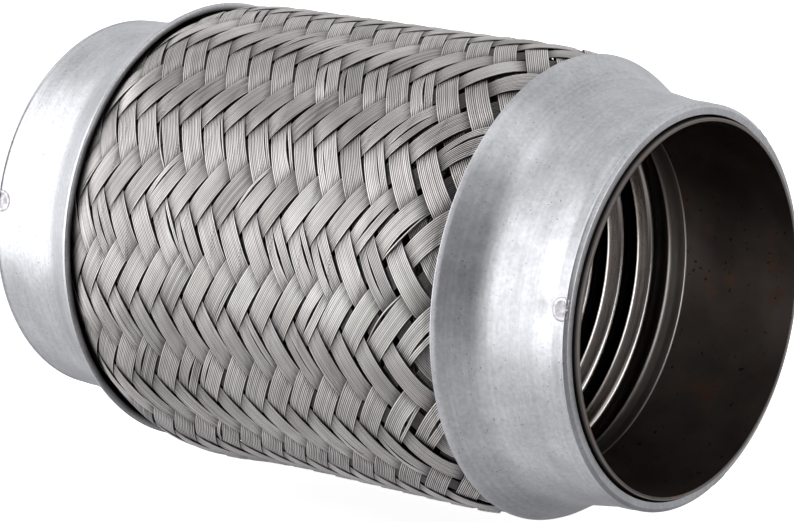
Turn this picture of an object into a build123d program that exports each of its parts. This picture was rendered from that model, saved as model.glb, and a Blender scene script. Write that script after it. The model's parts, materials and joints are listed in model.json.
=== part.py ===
"""Braided metal bellows expansion joint for a 76 mm (3 inch) pipe line.

Millimetres. The pipe axis is X, +Z is up, and the origin is the middle of the joint, on its axis.
Both ends are alike, so each end piece is drawn once for the +X (near) end and mirrored for the
-X (far) end.

Every piece but the spot welds is a thin wall: the section's outer skin is a path of (x, radius)
points with rounded corners, which is thickened inwards and revolved about the pipe axis.
"""
from build123d import *
import os

# --- wall stack at the mouth, from the bore outwards ---
bore_radius = 38.15
sleeve_wall = 0.4
bellows_wall = 0.3
braid_wall = 1.35
cap_wall = 1.5
sleeve_radius = bore_radius + sleeve_wall
cuff_radius = sleeve_radius + bellows_wall
braid_neck_radius = cuff_radius + braid_wall
neck_radius = braid_neck_radius + cap_wall

# --- places along the axis, measured from the middle ---
mouth_x = 78.0
lip_x = 77.0
braid_end_x = 75.3
sleeve_inner_x = 50.1
skirt_rim_x = 49.0

# --- end cap: skirt rim, steep shoulder, slow taper to a straight neck, and a lip rolled inwards ---
skirt_rim_radius = 48.4
shoulder_x, shoulder_radius = 50.2, 48.05
foot_x, foot_radius = 58.2, 43.35
neck_start_x = 70.0
lip_radius = 39.4
shoulder_bend = 3.0
foot_bend = 12.0
neck_bend = 20.0
lip_bend = 1.6

# --- bellows: each convolution is one root with half a crest to each side ---
pitch = 7.8
ring_count = 11
root_radius = 38.3
crest_radius = 44.8
root_bend = 1.7
crest_bend = 1.9
cut_bend = 0.6
flare_start_x, flare_end_x = 48.2, 49.4
flare_bend = 2.0

# --- braid: the tube that the crossing strands of wire fill ---
braid_radius = 48.85
braid_start_radius = 48.3
braid_pinch_x, braid_pinch_radius = 46.6, 47.7
braid_foot_x = 59.6
braid_bends = [5.0, 6.0]

# --- the bellows and the braid are divided at the crests, with room to close up and to tilt ---
slot = 2.4
half_ring = (pitch - slot) / 2
last_root_x = (ring_count + 1) / 2 * pitch
end_cut_x = last_root_x - half_ring

# --- spot welds round each neck ---
spot_weld_count = 3
spot_weld_radius = 1.9
spot_weld_height = 0.15
spot_weld_x = 73.9
first_weld_angle = 79.0  # from straight up, towards -Y


def wall(points, thickness, bends=None):
    """Revolve a wall of this thickness under an outer skin that runs in +X through the points."""
    skin = FilletPolyline(*points, radius=bends) if bends else Polyline(*points)
    section = offset(skin, amount=thickness, side=Side.RIGHT, closed=True)
    return revolve(make_face(section.edges()), axis=Axis.X, revolution_arc=360)


def wave(centre_x):
    """Outer skin of one root at centre_x, from the crest before it to the crest after it."""
    half_root = pitch / 4 - bellows_wall / 2
    left, right = centre_x - half_root, centre_x + half_root
    bottom = root_radius + bellows_wall
    return [(left, crest_radius), (left, bottom), (right, bottom), (right, crest_radius)]


def end_cap():
    skin = [
        (skirt_rim_x, skirt_rim_radius),
        (shoulder_x, shoulder_radius),
        (foot_x, foot_radius),
        (neck_start_x, neck_radius),
        (lip_x, neck_radius),
        (lip_x, lip_radius),
    ]
    return wall(skin, cap_wall, [shoulder_bend, foot_bend, neck_bend, lip_bend])


def inner_sleeve():
    """Liner inside the cuff, from the mouth to just short of the first root."""
    return wall([(sleeve_inner_x, sleeve_radius), (mouth_x, sleeve_radius)], sleeve_wall)


def bellows_cuff():
    """Plain end of the bellows: down the last crest's side, across the last root, and out to the mouth."""
    skin = [
        (end_cut_x, crest_radius),
        *wave(last_root_x)[:2],
        (flare_start_x, root_radius + bellows_wall),
        (flare_end_x, cuff_radius),
        (mouth_x, cuff_radius),
    ]
    return wall(skin, bellows_wall, [cut_bend, root_bend, flare_bend, flare_bend])


def braid_end():
    """Stretch of braid that goes in under the skirt and is gripped between the cuff and the neck."""
    skin = [
        (end_cut_x, braid_start_radius),
        (braid_pinch_x, braid_pinch_radius),
        (braid_foot_x, braid_neck_radius),
        (braid_end_x, braid_neck_radius),
    ]
    return wall(skin, braid_wall, braid_bends)


def spot_welds():
    """Low round buttons of weld that stand on the neck, evenly spaced round it."""
    neck = Rot(0, 90, 0) * Cylinder(neck_radius, 4 * lip_x)
    button = Pos(0, 0, neck_radius) * Cylinder(spot_weld_radius, 2 * spot_weld_height)
    button = fillet(button.edges().group_by(Axis.Z)[-1], spot_weld_height / 2) - neck
    step = 360 / spot_weld_count
    turned = [Rot(first_weld_angle + k * step, 0, 0) * Pos(spot_weld_x, 0, 0) * button
              for k in range(spot_weld_count)]
    return Compound(children=[piece.solid() for piece in turned])


def convolution(centre_x):
    skin = [(centre_x - half_ring, crest_radius), *wave(centre_x), (centre_x + half_ring, crest_radius)]
    return wall(skin, bellows_wall, [cut_bend, root_bend, root_bend, cut_bend])


def braid_band(centre_x):
    return wall([(centre_x - half_ring, braid_radius), (centre_x + half_ring, braid_radius)], braid_wall)


nodes = {}
end_pieces = {
    "end_cap": end_cap(),
    "inner_sleeve": inner_sleeve(),
    "bellows_cuff": bellows_cuff(),
    "braid_end": braid_end(),
    "spot_welds": spot_welds(),
}
for name, piece in end_pieces.items():
    nodes[f"near_{name}"] = piece
    nodes[f"far_{name}"] = mirror(piece, about=Plane.YZ)

for number in range(1, ring_count + 1):
    centre_x = (number - (ring_count + 1) / 2) * pitch
    nodes[f"bellows_convolution_{number:02d}"] = convolution(centre_x)
    nodes[f"braid_band_{number:02d}"] = braid_band(centre_x)

os.makedirs("parts", exist_ok=True)
for name, shape in nodes.items():
    export_step(shape, f"parts/{name}.step")
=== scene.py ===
import json
import math

import bpy
import numpy as np
from mathutils import Matrix, Vector

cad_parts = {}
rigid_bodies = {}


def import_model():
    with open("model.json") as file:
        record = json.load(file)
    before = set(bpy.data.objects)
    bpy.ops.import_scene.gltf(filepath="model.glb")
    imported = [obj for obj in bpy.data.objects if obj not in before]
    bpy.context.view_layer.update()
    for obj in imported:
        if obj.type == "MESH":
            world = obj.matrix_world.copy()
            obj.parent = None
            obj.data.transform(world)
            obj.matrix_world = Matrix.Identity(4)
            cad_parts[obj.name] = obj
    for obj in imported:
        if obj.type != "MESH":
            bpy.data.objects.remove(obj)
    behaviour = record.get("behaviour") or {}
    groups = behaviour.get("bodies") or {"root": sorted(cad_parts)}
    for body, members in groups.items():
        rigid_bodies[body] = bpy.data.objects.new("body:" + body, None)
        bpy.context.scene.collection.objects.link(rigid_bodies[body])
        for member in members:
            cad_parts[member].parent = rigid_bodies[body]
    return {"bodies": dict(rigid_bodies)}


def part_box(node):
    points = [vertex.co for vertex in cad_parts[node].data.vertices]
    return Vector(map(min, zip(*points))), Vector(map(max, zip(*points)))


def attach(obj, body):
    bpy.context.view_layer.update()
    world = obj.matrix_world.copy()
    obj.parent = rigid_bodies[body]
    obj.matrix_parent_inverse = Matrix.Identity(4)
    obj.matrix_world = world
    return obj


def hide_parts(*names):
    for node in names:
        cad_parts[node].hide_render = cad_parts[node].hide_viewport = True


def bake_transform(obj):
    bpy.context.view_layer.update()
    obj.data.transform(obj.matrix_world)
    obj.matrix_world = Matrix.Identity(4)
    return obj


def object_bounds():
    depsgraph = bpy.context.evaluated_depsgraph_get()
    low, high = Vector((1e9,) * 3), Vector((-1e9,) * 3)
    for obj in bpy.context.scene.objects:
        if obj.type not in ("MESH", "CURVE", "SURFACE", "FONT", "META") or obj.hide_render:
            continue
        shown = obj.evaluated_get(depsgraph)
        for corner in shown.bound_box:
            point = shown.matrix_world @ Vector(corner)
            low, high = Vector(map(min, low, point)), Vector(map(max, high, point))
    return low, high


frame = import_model()
cad_low, cad_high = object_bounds()

# Braided metal bellows expansion joint. Metres; the pipe axis is X, +X is the near end, +Z is up.
mm = 0.001

# --- the chain of bodies from the far end to the near end, and where each ring's middle is ---
ring_count = sum(1 for body in frame["bodies"] if body.startswith("ring_"))
rings = [f"ring_{n:02d}" for n in range(1, ring_count + 1)]
chain = ["far_end", *rings, "near_end"]
band_low, band_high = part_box("braid_band_01")
first_centre = (band_low.x + band_high.x) / 2
pitch = -2 * first_centre / (ring_count - 1)
seams = [first_centre + (k - 1) * pitch for k in range(len(chain))]
last_root = seams[-1]
# each bellows and braid section runs this far past its seams, so that no gap opens between two of them
overlap = 0.2 * mm

# --- sizes that the frame gives ---
cap_low, cap_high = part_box("near_end_cap")
sleeve_low, sleeve_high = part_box("near_inner_sleeve")
lip_x = cap_high.x
mouth_x = sleeve_high.x
skirt_x = cap_low.x + 0.42 * mm
sleeve_radius = sleeve_high.z
crest_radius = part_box("bellows_convolution_06")[1].z

# --- end caps: corners of the outer skin as (x, radius) ---
cap_wall = 1.5 * mm
skirt_radius = 48.4 * mm
skirt_inside = 46.9 * mm
shoulder = (50.2 * mm, 48.05 * mm)
foot = (58.2 * mm, 43.35 * mm)
neck_radius = 41.7 * mm
neck_start = (70.0 * mm, neck_radius)
lip_radius = 39.4 * mm

# --- spot welds and the dimple beside each ---
weld_x = 75.4 * mm
weld_angles = [math.radians(169 + 120 * n) for n in range(3)]
dimple_x = weld_x - 2.1 * mm
dimple_depth = 0.6 * mm
dimple_length = 2.3 * mm
dimple_width = 2.5 * mm

# --- inner sleeves, bellows and cuffs ---
sleeve_wall = 0.4 * mm
worn_edge = 0.5 * mm
bellows_wall = 0.3 * mm
root_radius = 38.3 * mm
root_bend = 1.35 * mm
crest_bend = 1.9 * mm
end_root_bend = 1.92 * mm
# tone of the cuffs and of the bellows beside the sleeves: sooty brown and painted shade, which dims the root
# there and lightens the painted dark of the end waves
end_soot_and_shade = 0.4
cuff_radius = sleeve_radius + bellows_wall
flare_start_x = 48.2 * mm
flare_end_x = 49.4 * mm
flare_bend = 2 * mm

# --- braid: thirty strands each way, over two and under two ---
strands = 30
wires = 12
wire_radius = 0.19 * mm
wire_pitch = 0.388 * mm
layer_height = 0.25 * mm
strand_pitch = 6.1 * mm
loose_pitch = 8.1 * mm
crossing_x = 2.35 * mm
crossing_angle = math.radians(-2.7)
under_skirt = 58 * mm
braid_end_x = 75.2 * mm


# ---------------------------------------------------------------- meshes

def smoothstep(value, low, high):
    t = np.clip((value - low) / (high - low), 0, 1)
    return t * t * (3 - 2 * t)


def grid_faces(rows, columns, wrap_rows, wrap_columns):
    """Quads that join a grid of points, which may close on itself either way."""
    r = np.arange(rows if wrap_rows else rows - 1)
    c = np.arange(columns if wrap_columns else columns - 1)
    r, c = np.meshgrid(r, c, indexing="ij")
    r, c = r.ravel(), c.ravel()
    after_r, after_c = (r + 1) % rows, (c + 1) % columns
    corners = [r * columns + c, r * columns + after_c, after_r * columns + after_c, after_r * columns + c]
    return np.stack(corners, axis=1)


def mesh_piece(name, points, faces, material):
    """A smooth-shaded mesh."""
    mesh = bpy.data.meshes.new(name)
    mesh.from_pydata(points.tolist(), [], faces.tolist())
    mesh.shade_smooth()
    piece = bpy.data.objects.new(name, mesh)
    bpy.context.scene.collection.objects.link(piece)
    mesh.materials.append(material)
    return piece


def join_bodies(piece):
    """Bake the piece's placement into its points."""
    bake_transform(piece)


def rounded(corners, bends, steps=8):
    """The corner points of a path with each inner corner turned into an arc."""
    path = [corners[0]]
    for before, corner, after, bend in zip(corners, corners[1:], corners[2:], bends):
        here = Vector(corner)
        back, onward = (Vector(before) - here).normalized(), (Vector(after) - here).normalized()
        half_turn = back.angle(onward) / 2
        reach = bend / math.tan(half_turn)
        centre = here + (back + onward).normalized() * (bend / math.sin(half_turn))
        spoke = here + back * reach - centre
        turn = spoke.angle_signed(here + onward * reach - centre)
        for k in range(steps + 1):
            path.append(tuple(centre + Matrix.Rotation(-turn * k / steps, 2) @ spoke))
    path.append(corners[-1])
    return path


def below(path, depth):
    """The path moved to its right-hand side by this depth: the inner face of a wall."""
    points = np.array(path)
    along = np.gradient(points, axis=0)
    along /= np.linalg.norm(along, axis=1)[:, None]
    right = np.stack([along[:, 1], -along[:, 0]], axis=1)
    return points + right * depth


def paint(piece, values):
    """Store a number at each point, which the material reads as "tone"."""
    layer = piece.data.attributes.new("tone", "FLOAT", "POINT")
    layer.data.foreach_set("value", np.asarray(values, dtype=np.float32))


def lathe(name, outline, turns, tone, material):
    """A closed outline of (x, radius) points turned about the pipe axis, with a tone for each point."""
    outline = np.array(outline)
    angle = np.linspace(0, 2 * math.pi, turns, endpoint=False)
    x = np.broadcast_to(outline[:, 0], (turns, len(outline)))
    y = np.outer(np.cos(angle), outline[:, 1])
    z = np.outer(np.sin(angle), outline[:, 1])
    points = np.stack([x, y, z], axis=2).reshape(-1, 3)
    piece = mesh_piece(name, points, grid_faces(turns, len(outline), True, True), material)
    piece.data.set_sharp_from_angle(angle=math.radians(40))
    paint(piece, np.tile(tone, turns))
    return piece


def wall(path, thickness):
    """Outline of a wall under an outer skin that runs in +X."""
    return np.concatenate([np.array(path), below(path, thickness)[::-1]])


def openness(outline):
    """Painted shade for the bellows: 1 on the narrowest parts, and 0 deep in its outward waves, which the
    material paints dark.
    """
    return 1 - smoothstep(np.array(outline)[:, 1], root_radius + 1.3 * mm, root_radius + 3.3 * mm)


def mirrored(outline):
    """The same outline at the other end."""
    return np.array(outline)[::-1] * (-1, 1)


# ---------------------------------------------------------------- materials

def new_material(name):
    material = bpy.data.materials.new(name)
    material.use_nodes = True
    return material, material.node_tree.nodes, material.node_tree.links


def steel(name, roughness):
    material, nodes, links = new_material(name)
    shader = nodes["Principled BSDF"]
    shader.inputs["Metallic"].default_value = 1.0
    shader.inputs["Roughness"].default_value = roughness
    return material, nodes, links, shader


def noise(nodes, links, vector, scale, detail=3.0):
    node = nodes.new("ShaderNodeTexNoise")
    node.inputs["Scale"].default_value = scale
    node.inputs["Detail"].default_value = detail
    links.new(vector, node.inputs["Vector"])
    return node.outputs["Fac"]


def ramp(nodes, links, value, stops):
    node = nodes.new("ShaderNodeValToRGB")
    elements = node.color_ramp.elements
    while len(elements) < len(stops):
        elements.new(0.5)
    for element, (place, colour) in zip(elements, stops):
        element.position = place
        element.color = (*colour, 1.0)
    links.new(value, node.inputs["Fac"])
    return node.outputs["Color"]


def mapped(nodes, links, value, low, high):
    """The value from 0 to 1, stretched from low to high."""
    node = nodes.new("ShaderNodeMapRange")
    node.inputs["To Min"].default_value = low
    node.inputs["To Max"].default_value = high
    links.new(value, node.inputs["Value"])
    return node.outputs["Result"]


def mapped_from(nodes, links, value, low, high):
    """The value, where low becomes 0 and high becomes 1."""
    node = nodes.new("ShaderNodeMapRange")
    node.inputs["From Min"].default_value = low
    node.inputs["From Max"].default_value = high
    links.new(value, node.inputs["Value"])
    return node.outputs["Result"]


def maths(nodes, links, operation, first, second=None):
    node = nodes.new("ShaderNodeMath")
    node.operation = operation
    for socket, value in zip(node.inputs, (first, second)):
        if isinstance(value, (int, float)):
            socket.default_value = value
        elif value is not None:
            links.new(value, socket)
    return node.outputs["Value"]


def mixed(nodes, links, factor, first, second, blend_type="MIX"):
    node = nodes.new("ShaderNodeMix")
    node.data_type = "RGBA"
    node.blend_type = blend_type
    inputs = [node.inputs["Factor"], node.inputs[6], node.inputs[7]]
    for socket, value in zip(inputs, (factor, first, second)):
        if isinstance(value, (int, float)):
            socket.default_value = value
        elif isinstance(value, tuple):
            socket.default_value = (*value, 1.0)
        else:
            links.new(value, socket)
    return node.outputs[2]


def painted(nodes):
    """The tone that paint() stored at each point."""
    node = nodes.new("ShaderNodeAttribute")
    node.attribute_name = "tone"
    return node.outputs["Fac"]


def pipe_coordinates(nodes, links):
    """The object's own coordinates, and round-the-pipe ones: along X, and the angle about it."""
    own = nodes.new("ShaderNodeTexCoord").outputs["Object"]
    split = nodes.new("ShaderNodeSeparateXYZ")
    links.new(own, split.inputs[0])
    angle = maths(nodes, links, "ARCTAN2", split.outputs["Z"], split.outputs["Y"])
    return own, split.outputs["X"], angle


def drawn_lines(nodes, links, x, angle, per_metre):
    """Noise that is fine along the pipe and long round it, as a turned or drawn surface has."""
    join = nodes.new("ShaderNodeCombineXYZ")
    links.new(maths(nodes, links, "MULTIPLY", x, per_metre), join.inputs["X"])
    links.new(maths(nodes, links, "SINE", angle), join.inputs["Y"])
    links.new(maths(nodes, links, "COSINE", angle), join.inputs["Z"])
    return noise(nodes, links, join.outputs["Vector"], 1.0, 4.0)


def bump(nodes, links, shader, height, strength, distance):
    node = nodes.new("ShaderNodeBump")
    node.inputs["Strength"].default_value = strength
    node.inputs["Distance"].default_value = distance
    links.new(height, node.inputs["Height"])
    links.new(node.outputs["Normal"], shader.inputs["Normal"])


def cap_material():
    """Satin aluminised sheet: soft clouding, fine grain, faint drawing lines and tiny dark specks, with the
    inside painted dark as painted shade with some soot.
    """
    material, nodes, links, shader = steel("cap_steel", 0.4)
    own, x, angle = pipe_coordinates(nodes, links)
    clouds = ramp(nodes, links, noise(nodes, links, own, 110.0, 5.0),
                  [(0.3, (0.56, 0.565, 0.59)), (0.7, (0.70, 0.705, 0.735))])
    mottle = ramp(nodes, links, noise(nodes, links, own, 1100.0, 2.0),
                  [(0.3, (0.84, 0.84, 0.84)), (0.7, (1.0, 1.0, 1.0))])
    lines = drawn_lines(nodes, links, x, angle, 1500.0)
    drawn = ramp(nodes, links, lines, [(0.35, (0.90, 0.90, 0.90)), (0.65, (1.0, 1.0, 1.0))])
    grained = mixed(nodes, links, 1.0, clouds, mottle, "MULTIPLY")
    tinted = mixed(nodes, links, 1.0, grained, drawn, "MULTIPLY")
    specks = ramp(nodes, links, noise(nodes, links, own, 2600.0, 0.0),
                  [(0.17, (1.0, 1.0, 1.0)), (0.21, (0.0, 0.0, 0.0))])
    spotted = mixed(nodes, links, specks, tinted, (0.22, 0.22, 0.23))
    # the tone paints the cap's inside dark: painted shade with some soot
    links.new(mixed(nodes, links, painted(nodes), (0.10, 0.095, 0.09), spotted), shader.inputs["Base Color"])
    finish = mapped(nodes, links, noise(nodes, links, own, 300.0, 3.0), 0.34, 0.47)
    links.new(finish, shader.inputs["Roughness"])
    bump(nodes, links, shader, noise(nodes, links, own, 2400.0, 2.0), 0.35, 0.00005)
    return material


def braid_material():
    """Bright drawn stainless wire, each strand and wire a little different, with painted shade on each
    wire's flanks and where a strand dives under.
    """
    material, nodes, links, shader = steel("braid_wire", 0.26)
    own = nodes.new("ShaderNodeTexCoord").outputs["Object"]
    # the tone carries painted shade: dark on each wire's flanks and where a strand lies under the other
    shade = ramp(nodes, links, painted(nodes),
                 [(0.0, (0.03, 0.028, 0.027)), (0.4, (0.36, 0.345, 0.34)), (1.0, (0.96, 0.93, 0.92))])
    patches = ramp(nodes, links, noise(nodes, links, own, 130.0, 3.0),
                   [(0.35, (0.84, 0.83, 0.82)), (0.65, (1.0, 1.0, 1.0))])
    links.new(mixed(nodes, links, 1.0, shade, patches, "MULTIPLY"), shader.inputs["Base Color"])
    finish = mapped(nodes, links, noise(nodes, links, own, 300.0, 1.0), 0.30, 0.42)
    links.new(finish, shader.inputs["Roughness"])
    return material


def bellows_material():
    """Bright formed stainless sheet with faint forming lines and a straw tint, painted dark and rougher deep
    inside its waves as painted shade.
    """
    material, nodes, links, shader = steel("bellows_steel", 0.16)
    own, x, angle = pipe_coordinates(nodes, links)
    lines = drawn_lines(nodes, links, x, angle, 1400.0)
    colour = ramp(nodes, links, noise(nodes, links, own, 70.0, 4.0),
                  [(0.3, (0.60, 0.55, 0.51)), (0.7, (0.78, 0.75, 0.73))])
    streaks = ramp(nodes, links, lines, [(0.3, (0.8, 0.8, 0.8)), (0.6, (1.0, 1.0, 1.0))])
    clean = mixed(nodes, links, 1.0, colour, streaks, "MULTIPLY")
    tone = painted(nodes)
    # painted shade: the tone turns the sheet dark brown deep in the waves
    links.new(mixed(nodes, links, tone, (0.045, 0.033, 0.027), clean), shader.inputs["Base Color"])
    # rougher where the tone paints shade deep in the waves, and on the sooty ends beside the sleeves
    soot = mapped(nodes, links, tone, 0.2, 0.0)
    finish = maths(nodes, links, "ADD", mapped(nodes, links, lines, 0.16, 0.30), soot)
    links.new(finish, shader.inputs["Roughness"])
    bump(nodes, links, shader, lines, 0.06, 0.00003)
    return material


def sleeve_material():
    """Smooth liner darkened by heat, with cloudy brown stains and small soot spots."""
    material, nodes, links, shader = steel("liner_steel", 0.34)
    own, x, angle = pipe_coordinates(nodes, links)
    clouds = ramp(nodes, links, noise(nodes, links, own, 45.0, 5.0),
                  [(0.35, (0.12, 0.103, 0.097)), (0.65, (0.25, 0.215, 0.20))])
    rust = ramp(nodes, links, noise(nodes, links, own, 130.0, 5.0),
                [(0.56, (0.0, 0.0, 0.0)), (0.72, (1.0, 1.0, 1.0))])
    stained = mixed(nodes, links, rust, clouds, (0.25, 0.145, 0.10))
    spots = ramp(nodes, links, noise(nodes, links, own, 800.0, 1.0),
                 [(0.24, (0.35, 0.3, 0.28)), (0.30, (1.0, 1.0, 1.0))])
    spotted = mixed(nodes, links, 1.0, stained, spots, "MULTIPLY")
    links.new(mixed(nodes, links, painted(nodes), (0.80, 0.76, 0.73), spotted), shader.inputs["Base Color"])
    lines = drawn_lines(nodes, links, x, angle, 1800.0)
    links.new(mapped(nodes, links, lines, 0.26, 0.42), shader.inputs["Roughness"])
    bump(nodes, links, shader, lines, 0.12, 0.00004)
    return material


def weld_material():
    """Dull ringed face of a spot weld, lighter on its raised ring and darker in its dished face."""
    material, nodes, links, shader = steel("weld", 0.42)
    own = nodes.new("ShaderNodeTexCoord").outputs["Object"]
    colour = ramp(nodes, links, noise(nodes, links, own, 900.0, 5.0),
                  [(0.35, (0.38, 0.37, 0.39)), (0.65, (0.66, 0.65, 0.68))])
    # lighter on the raised ring and darker in the dished face, by the tone that follows height
    worn = ramp(nodes, links, painted(nodes), [(0.0, (0.66, 0.65, 0.66)), (1.0, (1.0, 1.0, 1.0))])
    links.new(mixed(nodes, links, 1.0, colour, worn, "MULTIPLY"), shader.inputs["Base Color"])
    bump(nodes, links, shader, noise(nodes, links, own, 1500.0, 4.0), 0.5, 0.0001)
    return material


cap_steel = cap_material()
braid_wire = braid_material()
bellows_steel = bellows_material()
liner_steel = sleeve_material()
weld = weld_material()


# ---------------------------------------------------------------- end caps, sleeves, cuffs

def cap_skin():
    """Skirt rim, steep shoulder, slow taper to the neck, a shallow valley, then the lip's bead turned in."""
    corners = [
        (skirt_x, skirt_radius - 0.3 * mm),
        (skirt_x + 0.25 * mm, skirt_radius),
        shoulder,
        foot,
        neck_start,
        (lip_x - 3.2 * mm, neck_radius),
        (lip_x - 1.25 * mm, neck_radius - 0.36 * mm),
        (lip_x - 0.75 * mm, neck_radius - 0.02 * mm),
        (lip_x, neck_radius - 0.9 * mm),
        (lip_x, lip_radius),
    ]
    bends = [0.2, 3.0, 12.0, 20.0, 5.0, 0.2, 0.35, 0.3]
    return rounded(corners, [bend * mm for bend in bends], 10)


def cap_inside():
    """From the lip's inner edge back to the skirt."""
    corners = [
        (lip_x - 1.5 * mm, lip_radius),
        (lip_x - 1.6 * mm, neck_radius - cap_wall),
        (neck_start[0], neck_radius - cap_wall),
        (foot[0] - 0.5 * mm, foot[1] - cap_wall),
        (shoulder[0] - 0.6 * mm, shoulder[1] - 1.38 * mm),
        (skirt_x, skirt_inside),
    ]
    return rounded(corners, [bend * mm for bend in (0.05, 21.0, 13.0, 0.6)], 10)


def dent(piece, side):
    """Press the dimples into a piece on the neck."""
    for vertex in piece.data.vertices:
        place = vertex.co
        reach = (side * place.x - dimple_x) / dimple_length
        if abs(reach) > 3:
            continue
        radius = math.hypot(place.y, place.z)
        angle = math.atan2(place.z, place.y)
        for weld_angle in weld_angles:
            around = math.remainder(angle - weld_angle, 2 * math.pi) * radius / dimple_width
            depth = dimple_depth * math.exp(-reach ** 2 - around ** 2)
            place.y -= depth * math.cos(angle)
            place.z -= depth * math.sin(angle)


def spot_welds(end, side):
    """Three pressed discs that follow the neck and its bead: a dished face inside a raised ring."""
    neck = np.array([point for point in cap_skin() if point[0] < lip_x - 0.01 * mm])
    rings = np.array([0.0, 0.45, 0.9, 1.3, 1.5, 1.65, 1.8, 1.95, 2.1, 2.25, 2.4, 2.5]) * mm
    heights = np.array([0.08, 0.09, 0.07, 0.08, 0.09, 0.13, 0.16, 0.16, 0.12, 0.08, 0.04, -0.2]) * mm
    spokes = np.linspace(0, 2 * math.pi, 48, endpoint=False)
    points, faces = [], []
    for weld_angle in weld_angles:
        x = np.minimum(weld_x + np.outer(np.cos(spokes), rings), lip_x - 0.3 * mm)
        angle = weld_angle + np.outer(np.sin(spokes), rings) / neck_radius
        radius = np.interp(x, *neck.T) + heights
        made = np.stack([side * x, radius * np.cos(angle), radius * np.sin(angle)], axis=2).reshape(-1, 3)
        faces.append(grid_faces(len(spokes), len(rings), True, False) + len(points) * len(made))
        points.append(made)
    name = f"{end}_spot_weld_discs"
    piece = mesh_piece(name, np.concatenate(points), np.concatenate(faces), weld)
    # the tone rises with the height of the face: the raised ring lighter, the dished face darker
    tone = np.interp(heights, [0.06 * mm, 0.16 * mm], [0.0, 1.0])
    paint(piece, np.tile(tone, len(weld_angles) * len(spokes)))
    dent(piece, side)
    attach(piece, f"{end}_end")
    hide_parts(f"{end}_spot_welds")


def bellows_path(left, right):
    """Outer skin from one root's middle over a crest to the next root's middle."""
    half_root = pitch / 4
    bottom = root_radius + bellows_wall
    return [
        (left - overlap, bottom),
        (left + half_root, bottom),
        (left + half_root, crest_radius),
        (right - half_root, crest_radius),
        (right - half_root, bottom),
        (right + overlap, bottom),
    ]


def cuff_outline():
    """From the last root's middle across a small flare to the plain cuff."""
    path = [
        (last_root, root_radius + bellows_wall),
        (flare_start_x, root_radius + bellows_wall),
        (flare_end_x, cuff_radius),
        (mouth_x, cuff_radius),
    ]
    return wall(rounded(path, [flare_bend, flare_bend]), bellows_wall)


def sleeve_outline():
    """A plain wall whose inner edge is rounded and worn bright, and its tone."""
    inside = sleeve_radius - sleeve_wall
    edge = sleeve_low.x
    stained = [
        (edge, sleeve_radius),
        (mouth_x, sleeve_radius),
        (mouth_x, inside),
        (edge + worn_edge + 0.1 * mm, inside),
    ]
    worn = rounded([(edge + worn_edge, inside), (edge, inside), (edge, sleeve_radius)], [0.35 * mm])[:-1]
    return np.array(stained + worn), np.array([1.0] * len(stained) + [0.0] * len(worn))


def end_pieces(end, side):
    """One end's cap, sleeve, cuff and welds. side is 1 for the near end and -1 for the far end."""
    skin, inside = cap_skin(), cap_inside()
    # the outer skin keeps its colour and the inside is painted dark: painted shade with some soot
    cap_tone = np.concatenate([np.ones(len(skin)), np.zeros(len(inside))])
    cuff = cuff_outline()
    sleeve, sleeve_tone = sleeve_outline()
    made = [
        ("end_cap", np.array(skin + inside), 360, cap_tone, cap_steel, "cap_steel"),
        # the cuff is painted darker all over: sooty brown and painted shade
        ("bellows_cuff", cuff, 240, np.full(len(cuff), end_soot_and_shade), bellows_steel, "bellows_steel"),
        ("inner_sleeve", sleeve, 240, sleeve_tone, liner_steel, "liner_steel"),
    ]
    for kind, outline, turns, tone, material, slot_name in made:
        if side < 0:
            outline, tone = mirrored(outline), tone[::-1]
        piece = lathe(f"{end}_{kind}_visual", outline, turns, tone, material)
        if kind == "end_cap":
            dent(piece, side)
        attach(piece, f"{end}_end")
        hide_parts(f"{end}_{kind}")
    spot_welds(end, side)


end_pieces("near", 1)
end_pieces("far", -1)


# ---------------------------------------------------------------- bellows between the ends

def bellows_section(number):
    """The wave across one joint of the chain. The root beside a sleeve is softer and painted darker, with
    sooty brown and painted shade.
    """
    left, right = seams[number], seams[number + 1]
    first = number == 0
    last = number == ring_count
    first_bend = end_root_bend if first else root_bend
    last_bend = end_root_bend if last else root_bend
    bends = [first_bend, crest_bend, crest_bend, last_bend]
    outline = wall(rounded(bellows_path(left, right), bends), bellows_wall)
    tone = openness(outline)
    # the end wave is painted darker beside the sleeve, and its painted shade is kept lighter elsewhere:
    # sooty brown and painted shade
    if first or last:
        beside_sleeve = (outline[:, 0] - (left + right) / 2) * (1 if last else -1) > 0
        tone = np.where(beside_sleeve, end_soot_and_shade, np.maximum(tone, end_soot_and_shade))
    name = f"bellows_section_{number + 1:02d}"
    piece = lathe(name, outline, 192, tone, bellows_steel)
    join_bodies(piece)
    return piece


for number in range(len(chain) - 1):
    section = bellows_section(number)
    if number:
        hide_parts(f"bellows_convolution_{number:02d}")


# ---------------------------------------------------------------- braid

braid_profile = np.array([
    (-90.0, 39.53), (-59.8, 39.53), (-49.0, 45.3), (-46.0, 46.6), (-41.5, 47.9), (-35.0, 48.42),
    (38.0, 48.42), (43.0, 48.0), (46.8, 47.2), (50.0, 45.1), (59.8, 39.53), (90.0, 39.53),
]) * mm
table_x = np.linspace(-90 * mm, 90 * mm, 3601)
local_pitch = strand_pitch + (loose_pitch - strand_pitch) * smoothstep(table_x, 24 * mm, 46 * mm)
table_turn = np.cumsum(1 / local_pitch) * (table_x[1] - table_x[0])
table_turn -= np.interp(crossing_x, table_x, table_turn)


def braid_middle(x):
    """Radius halfway between the two layers, with the profile's corners rounded off."""
    spread = np.linspace(-1.8 * mm, 1.8 * mm, 9)
    return np.mean([np.interp(x + d, *braid_profile.T) for d in spread], axis=0)


def sag(x, angle):
    """The braid stands out a little underneath, next to the far cap."""
    along = np.exp(-((x + 33 * mm) / (13 * mm)) ** 2)
    around = np.exp(-(np.angle(np.exp(1j * (angle - math.radians(250)))) / 0.55) ** 2)
    return 1.3 * mm * along * around * smoothstep(-np.abs(x), -48 * mm, -42 * mm)


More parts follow.
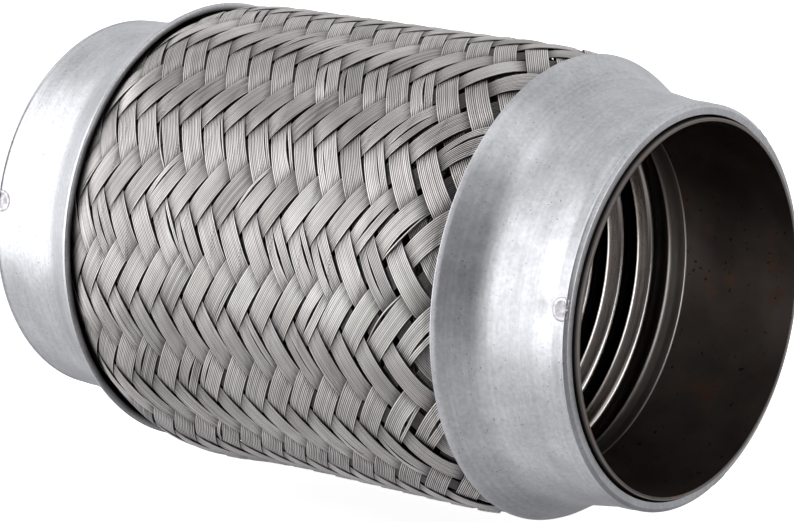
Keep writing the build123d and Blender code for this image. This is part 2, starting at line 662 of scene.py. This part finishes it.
class Strands:
    """The strands that wind one way: +1 turns upwards in angle with X, and -1 downwards."""

    def __init__(self, way, seed):
        random = np.random.default_rng(seed)
        self.way = way
        floats = 40
        self.tone = random.normal(0.88, 0.07, (strands, 1)) + random.normal(0, 0.08, (strands, wires))
        self.offset = (np.arange(wires) - (wires - 1) / 2) * wire_pitch
        self.offset = self.offset + random.normal(0, 0.008 * mm, (strands, wires))
        self.lift = random.normal(0, 0.010 * mm, (strands, wires))
        self.wander = random.uniform(0, 2 * math.pi, strands)
        split = random.random((strands, floats))
        gap = np.where(split < 0.22, random.uniform(0.2, 0.65, (strands, floats)), 0.03) * mm
        after = random.integers(1, wires, (strands, floats))
        side = np.where(np.arange(wires) >= after[..., None], 0.5, -0.5)
        near_gap = np.exp(-np.abs(np.arange(wires) + 0.5 - after[..., None]) / 2.5)
        self.splay = gap[..., None] * side * (0.35 + 0.65 * near_gap)
        self.rise = gap[..., None] * near_gap * random.uniform(-0.1, 0.5, (strands, floats, 1))
        self.first_float = floats // 2

    def points(self, x, sides):
        """Surface points of all the wires at these x, (strand, wire, station, side, xyz), and their tone,
        which holds painted shade.
        """
        turn = np.interp(x, table_x, table_turn)
        middle = braid_middle(x)
        step = 2 * math.pi / strands
        slope = np.gradient(turn, x) * step * middle
        stretch = np.sqrt(1 + slope ** 2)
        strand = np.arange(strands)[:, None, None]
        wander = 0.16 * mm * np.sin(x / (11 * mm) + self.wander[:, None, None])
        wire_offset = self.offset[..., None] + wander
        centre = crossing_angle + (strand + self.way * turn) * step
        angle = centre + self.way * wire_offset * stretch / middle

        crossing = strand + (angle - crossing_angle) / step + self.way * turn
        wave = np.cos((crossing - 0.5) * math.pi / 2)
        over = self.way * np.tanh(2.2 * wave) / math.tanh(2.2)
        on_top = np.clip(self.way * wave, 0, 1) ** 1.3
        float_index = np.round((crossing - (0.5 if self.way > 0 else 2.5)) / 4).astype(int)
        float_index = np.clip(float_index + self.first_float, 0, self.splay.shape[1] - 1)
        wire = np.arange(wires)[None, :, None]
        shift = self.splay[strand, float_index, wire] * on_top
        rise = self.rise[strand, float_index, wire] * on_top

        angle = angle + self.way * shift * stretch / middle
        height = layer_height * over + 0.14 * mm * on_top + self.lift[..., None] + rise
        radius = middle + height + sag(x, angle)
        turn_round = np.arange(sides) * 2 * math.pi / sides
        radius = radius[..., None] + wire_radius * np.cos(turn_round)
        across = wire_radius * np.sin(turn_round) * stretch[:, None] / middle[:, None]
        angle = angle[..., None] + across
        place = np.broadcast_to(x[:, None], angle.shape)
        points = np.stack([place, radius * np.cos(angle), radius * np.sin(angle)], axis=-1)

        # painted shade: darker where a wire dives under the other strands, and on the flanks of each wire
        depth = 0.15 + 0.85 * smoothstep(over, -0.7, 0.9)
        flank_shade = np.interp(np.cos(turn_round), [-1, 0.5, 1], [0.0, 0.46, 1.0])
        tone = self.tone[..., None, None] * depth[..., None] * flank_shade
        return points, np.clip(tone, 0, 1)


rising = Strands(1, 11)
falling = Strands(-1, 12)


def braid_piece(name, stations, sides):
    """Every wire of both directions between the first and the last station."""
    made = [family.points(stations, sides) for family in (rising, falling)]
    points, tone = (np.stack(layers) for layers in zip(*made))
    wire_total = 2 * strands * wires
    faces = grid_faces(len(stations), sides, False, True)
    starts = np.arange(wire_total)[:, None, None] * len(stations) * sides
    faces = (faces[None] + starts).reshape(-1, 4)
    piece = mesh_piece(name, points.reshape(-1, 3), faces, braid_wire)
    paint(piece, tone.ravel())
    return piece


for number in range(len(chain) - 1):
    stations = np.linspace(seams[number] - overlap, seams[number + 1] + overlap, 9)
    section = braid_piece(f"braid_section_{number + 1:02d}", stations, 6)
    join_bodies(section)
    if number:
        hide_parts(f"braid_band_{number:02d}")

end_stations = np.concatenate([
    np.linspace(last_root, under_skirt, 13),
    np.linspace(under_skirt, braid_end_x, 8)[1:],
])
for end, stations in (("near", end_stations), ("far", -end_stations[::-1])):
    under_cap = braid_piece(f"{end}_braid_under_cap", stations, 5)
    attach(under_cap, f"{end}_end")
    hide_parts(f"{end}_braid_end")


# ---------------------------------------------------------------- floor, light and camera

def plain(name, colour, roughness, glow):
    material, nodes, links = new_material(name)
    shader = nodes["Principled BSDF"]
    shader.inputs["Base Color"].default_value = (*colour, 1.0)
    shader.inputs["Roughness"].default_value = roughness
    shader.inputs["Emission Color"].default_value = (1.0, 1.0, 1.0, 1.0)
    shader.inputs["Emission Strength"].default_value = glow
    return material


def add_floor():
    """The far bore holds the part, so the floor is under the lowest place that the near end swings to."""
    half = 6.0
    drop = 8.8 * mm
    height = cad_low.z - drop
    mesh = bpy.data.meshes.new("floor")
    corners = [(-half, -half, height), (half, -half, height), (half, half, height), (-half, half, height)]
    mesh.from_pydata(corners, [], [(0, 1, 2, 3)])
    floor = bpy.data.objects.new("floor", mesh)
    bpy.context.scene.collection.objects.link(floor)
    mesh.materials.append(plain("floor_white", (0.9, 0.9, 0.9), 0.9, 0.72))
    floor.visible_glossy = False


def softbox(name, azimuth, elevation, distance, size, power):
    """An area light that faces the object. Azimuth 0 is at -Y and 90 at +X."""
    a, e = math.radians(azimuth), math.radians(elevation)
    back = Vector((math.sin(a) * math.cos(e), -math.cos(a) * math.cos(e), math.sin(e)))
    data = bpy.data.lights.new(name, "AREA")
    data.shape = "RECTANGLE"
    data.size, data.size_y = size
    data.energy = power
    light = bpy.data.objects.new(name, data)
    light.location = back * distance
    light.rotation_mode = "QUATERNION"
    light.rotation_quaternion = (-back).to_track_quat("-Z", "Y")
    bpy.context.scene.collection.objects.link(light)
    return light


def facing(nodes, links, direction, toward):
    """How nearly a direction points the given way: 1 where it does, and 0 at right angles."""
    node = nodes.new("ShaderNodeVectorMath")
    node.operation = "DOT_PRODUCT"
    links.new(direction, node.inputs[0])
    node.inputs[1].default_value = toward
    return node.outputs["Value"]


def add_world():
    """White to look at. In reflections, a grey room with a dark side at the right and a pale table."""
    world = bpy.data.worlds.new("studio")
    world.use_nodes = True
    bpy.context.scene.world = world
    nodes, links = world.node_tree.nodes, world.node_tree.links
    split = nodes.new("ShaderNodeSeparateXYZ")
    direction = nodes.new("ShaderNodeTexCoord").outputs["Generated"]
    links.new(direction, split.inputs[0])
    room = ramp(nodes, links, mapped_from(nodes, links, split.outputs["Z"], -1.0, 1.0), [
        (0.0, (0.20, 0.20, 0.21)),
        (0.2, (0.38, 0.38, 0.39)),
        (0.325, (0.40, 0.40, 0.41)),
        (0.625, (0.84, 0.84, 0.85)),
        (0.75, (0.83, 0.83, 0.84)),
        (1.0, (0.64, 0.64, 0.65)),
    ])
    to_right = facing(nodes, links, direction, (0.72, -0.66, 0.20))
    dark_side = ramp(nodes, links, to_right, [(0.6, (1.0, 1.0, 1.0)), (0.9, (0.10, 0.10, 0.10))])
    shaded = mixed(nodes, links, 1.0, room, dark_side, "MULTIPLY")
    to_table = facing(nodes, links, direction, (-0.50, -0.58, -0.64))
    table = ramp(nodes, links, to_table, [(0.35, (0.0, 0.0, 0.0)), (0.85, (0.55, 0.55, 0.55))])
    shaded = mixed(nodes, links, 1.0, shaded, table, "ADD")
    path = nodes.new("ShaderNodeLightPath")
    colour = mixed(nodes, links, path.outputs["Is Camera Ray"], shaded, (1.0, 1.0, 1.0))
    links.new(colour, nodes["Background"].inputs["Color"])


def add_camera():
    azimuth, elevation = math.radians(38.81), math.radians(13.72)
    aim = Vector((1.6 * mm, 0.7 * mm, -1.7 * mm))
    distance = 0.7735
    back = Vector((
        math.sin(azimuth) * math.cos(elevation),
        -math.cos(azimuth) * math.cos(elevation),
        math.sin(elevation),
    ))
    data = bpy.data.cameras.new("camera")
    data.lens = 164.3
    data.sensor_width = 36.0
    camera = bpy.data.objects.new("camera", data)
    camera.location = aim + back * distance
    camera.rotation_mode = "QUATERNION"
    camera.rotation_quaternion = (-back).to_track_quat("-Z", "Y")
    bpy.context.scene.collection.objects.link(camera)
    bpy.context.scene.camera = camera


add_floor()
add_world()
softbox("key_left", -50, 14, 1.8, (3.0, 2.3), 31)
softbox("top", 20, 78, 1.5, (1.0, 0.6), 2.0)
softbox("right_fill", 95, 12, 1.5, (1.0, 1.0), 7.0)
add_camera()
bpy.context.scene.view_settings.view_transform = "Standard"
